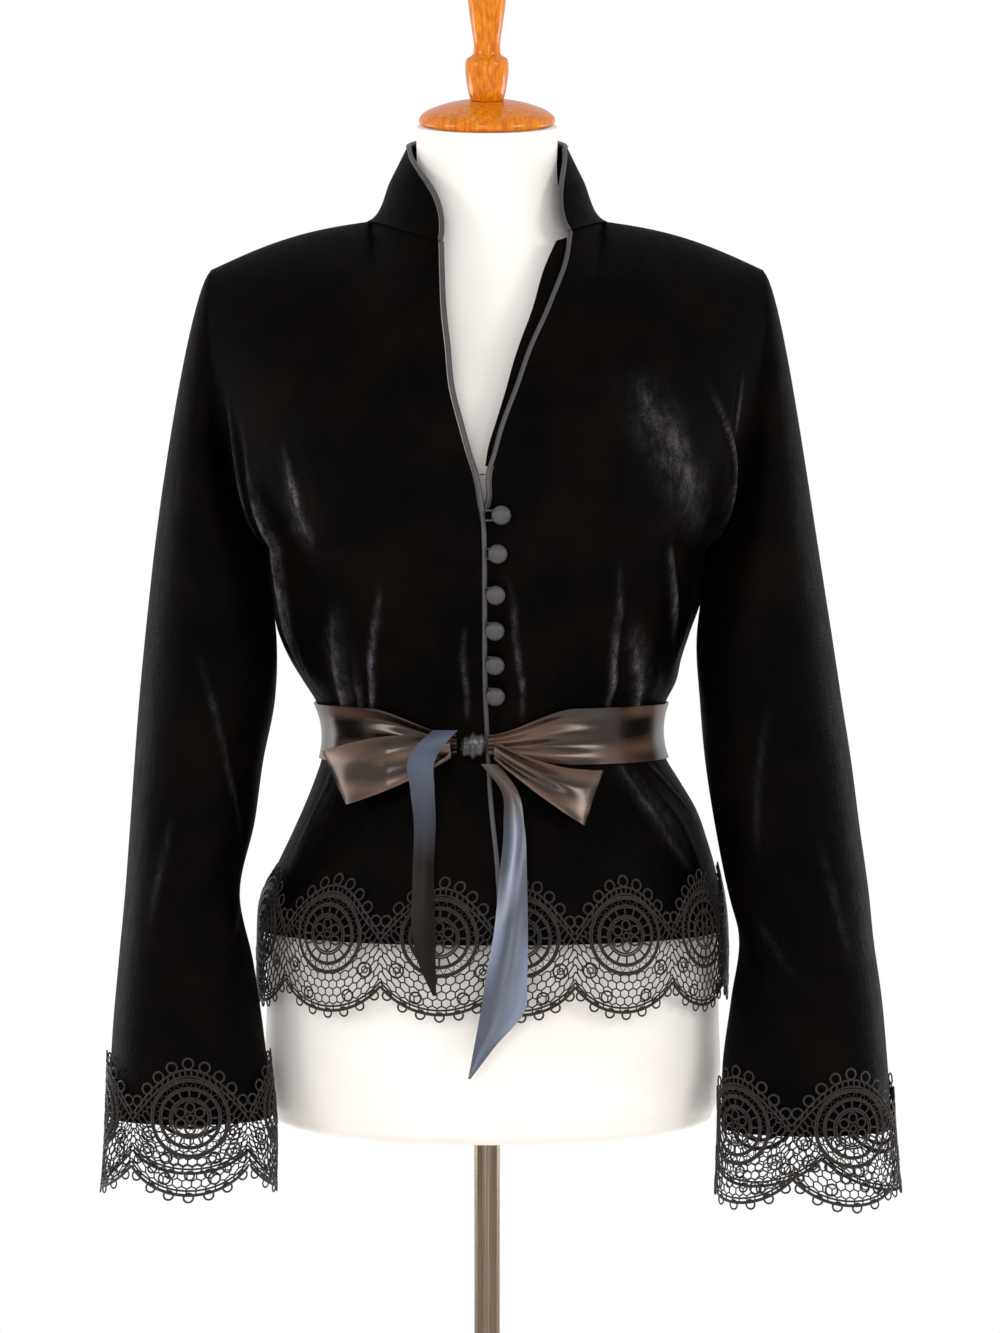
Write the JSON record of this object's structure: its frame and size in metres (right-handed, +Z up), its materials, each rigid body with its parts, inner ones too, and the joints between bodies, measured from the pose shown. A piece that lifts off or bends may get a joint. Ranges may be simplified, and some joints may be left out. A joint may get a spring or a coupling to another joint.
{
  "type": "blazer on a dress form",
  "caption": "Fitted black velvet blazer with stand collar, satin piping, covered buttons, ribbon belt and scalloped lace hems, on a limbless dress form with pole stand.",
  "frame": {"origin": "middle of the base plate's flat underside, on the floor", "axes": "+Z up along the pole, the garment's front faces -Y, +X is the wearer's left"},
  "size_m": [0.5659, 0.34, 1.6174],
  "materials": {
    "velvet": "black silk velvet pile",
    "satin": "taupe satin",
    "slate_satin": "slate side of the satin ribbon",
    "charcoal_satin": "charcoal satin of the piping and buttons",
    "lace": "charcoal guipure lace",
    "jersey": "off-white jersey cover",
    "amber_wood": "glossy amber lacquer",
    "steel": "brushed",
    "wire": "dark wire"
  },
  "bodies": {
    "root": {"front_right": "velvet", "front_left": "velvet", "facing_left": "velvet", "back": "velvet", "sleeve_right": "velvet", "sleeve_left": "velvet", "collar": "velvet", "piping_right": "charcoal_satin", "piping_left": "charcoal_satin", "piping_collar": "charcoal_satin", "button_1": "charcoal_satin", "button_2": "charcoal_satin", "button_3": "charcoal_satin", "button_4": "charcoal_satin", "button_5": "charcoal_satin", "button_6": "charcoal_satin", "hook_bar": "wire", "ribbon_belt": "satin", "bow_knot": "satin", "bow_loop_right": "satin", "bow_loop_left": "satin", "bow_tail_right": "satin", "bow_tail_left": "slate_satin", "hem_lace_right": "lace", "hem_lace_left": "lace", "hem_lace_back": "lace", "cuff_lace_right_front": "lace", "cuff_lace_right_back": "lace", "cuff_lace_left_front": "lace", "cuff_lace_left_back": "lace", "dress_form": "jersey", "neck_cap": "amber_wood", "finial": "amber_wood", "pole": "steel", "base": "steel"}
  },
  "joints": []
}
